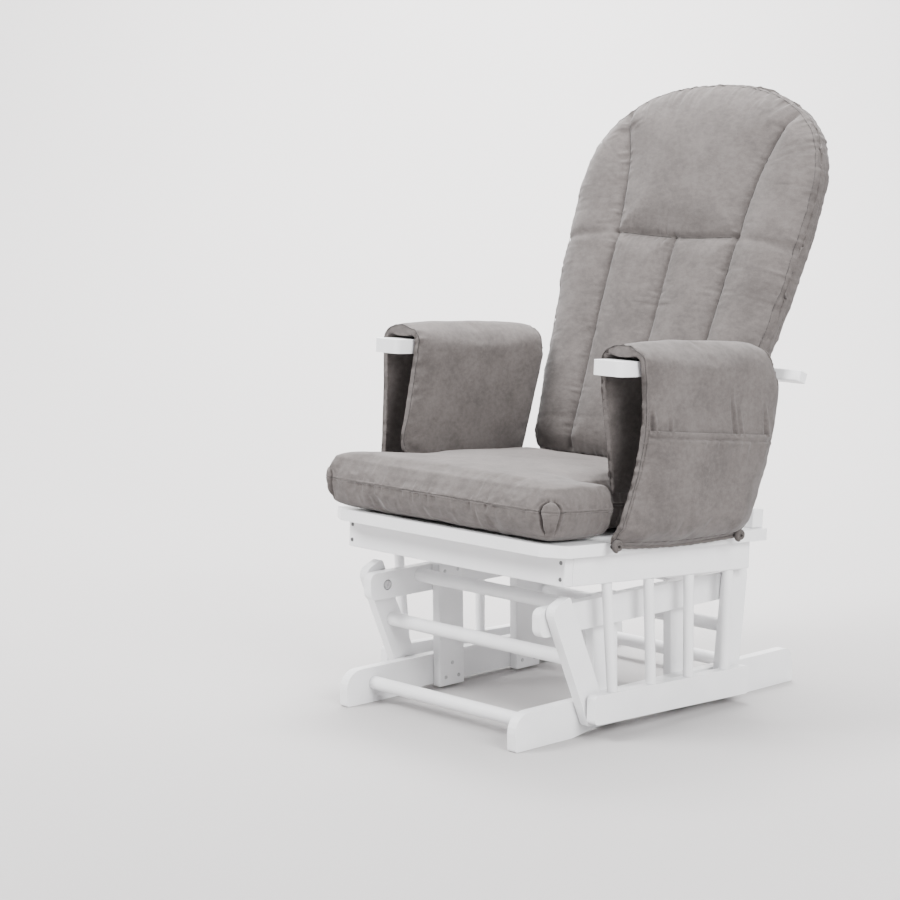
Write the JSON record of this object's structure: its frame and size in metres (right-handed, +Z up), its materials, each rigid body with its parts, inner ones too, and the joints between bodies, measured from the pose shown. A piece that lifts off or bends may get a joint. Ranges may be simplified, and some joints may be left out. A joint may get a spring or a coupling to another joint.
{
  "type": "glider chair",
  "caption": "Reclining nursery glider: white wooden chair whose seat swings from a fixed base on links, with padded seat, back and arm cushions.",
  "frame": {"origin": "on the floor, in the middle of the chair's length and width", "axes": "+Z up, the sitter faces -Y, the sitter's left is +X"},
  "size_m": [0.644, 0.7774, 1.0682],
  "materials": {
    "paint": "satin white paint",
    "cloth": "soft suede-like cloth, matt",
    "steel": "zinc plated"
  },
  "bodies": {
    "base": {"floor_dowel_front": "paint", "floor_dowel_rear": "paint", "hanger_bolt_front_left": "steel", "hanger_bolt_front_right": "steel", "hanger_bolt_rear_left": "steel", "hanger_bolt_rear_right": "steel", "hanger_dowel_front": "paint", "hanger_dowel_rear": "paint", "hanger_rail_left": "paint", "hanger_rail_right": "paint", "runner_left": "paint", "runner_right": "paint", "upright_front_left": "paint", "upright_front_right": "paint", "upright_rear_left": "paint", "upright_rear_right": "paint"},
    "front_links": {"front_link_dowel": "paint", "front_link_left": "paint", "front_link_right": "paint", "rail_bolt_front_left": "steel", "rail_bolt_front_right": "steel"},
    "rear_links": {"rail_bolt_rear_left": "steel", "rail_bolt_rear_right": "steel", "rear_link_dowel": "paint", "rear_link_left": "paint", "rear_link_right": "paint"},
    "seat": {"arm_cushion_left": "cloth", "arm_cushion_right": "cloth", "arm_post_left": "paint", "arm_post_right": "paint", "armrest_left": "paint", "armrest_right": "paint", "back_pivot_rod": "steel", "front_apron": "paint", "hinge_cleat_left": "paint", "hinge_cleat_right": "paint", "lower_rail_left": "paint", "lower_rail_right": "paint", "rear_cross_board": "paint", "seat_cushion": "cloth", "seat_deck": "paint", "side_apron_left": "paint", "side_apron_right": "paint", "spindle_1_left": "paint", "spindle_1_right": "paint", "spindle_2_left": "paint", "spindle_2_right": "paint", "spindle_3_left": "paint", "spindle_3_right": "paint", "spindle_4_left": "paint", "spindle_4_right": "paint"},
    "back": {"back_bottom_rail": "paint", "back_cushion": "cloth", "back_slat_1": "paint", "back_slat_2": "paint", "back_slat_3": "paint", "back_stile_left": "paint", "back_stile_right": "paint", "back_top_rail": "paint", "recline_bar": "paint"}
  },
  "joints": [
    {"name": "front_link_swing", "type": "hinge", "parent": "base", "child": "front_links", "pos_m": [0, -0.2917, 0.203], "axis": [1, 0, 0], "range_deg": [-19.5, 4.5]},
    {"name": "rear_link_swing", "type": "hinge", "parent": "base", "child": "rear_links", "pos_m": [0, 0.1293, 0.203], "axis": [1, 0, 0], "range_deg": [-19.6, 4.6]},
    {"name": "seat_swing", "type": "hinge", "parent": "front_links", "child": "seat", "pos_m": [0, -0.22998, 0.05214], "axis": [1, 0, 0], "range_deg": [-5.7, 24.4]},
    {"name": "back_recline", "type": "hinge", "parent": "seat", "child": "back", "pos_m": [0, 0.10949, 0.336], "axis": [-1, 0, 0], "range_deg": [0, 18]}
  ],
  "couplings": [
    {"joint": "rear_link_swing", "follows": "front_link_swing", "ratio": 1.0017},
    {"joint": "seat_swing", "follows": "front_link_swing", "ratio": -1.2461}
  ]
}
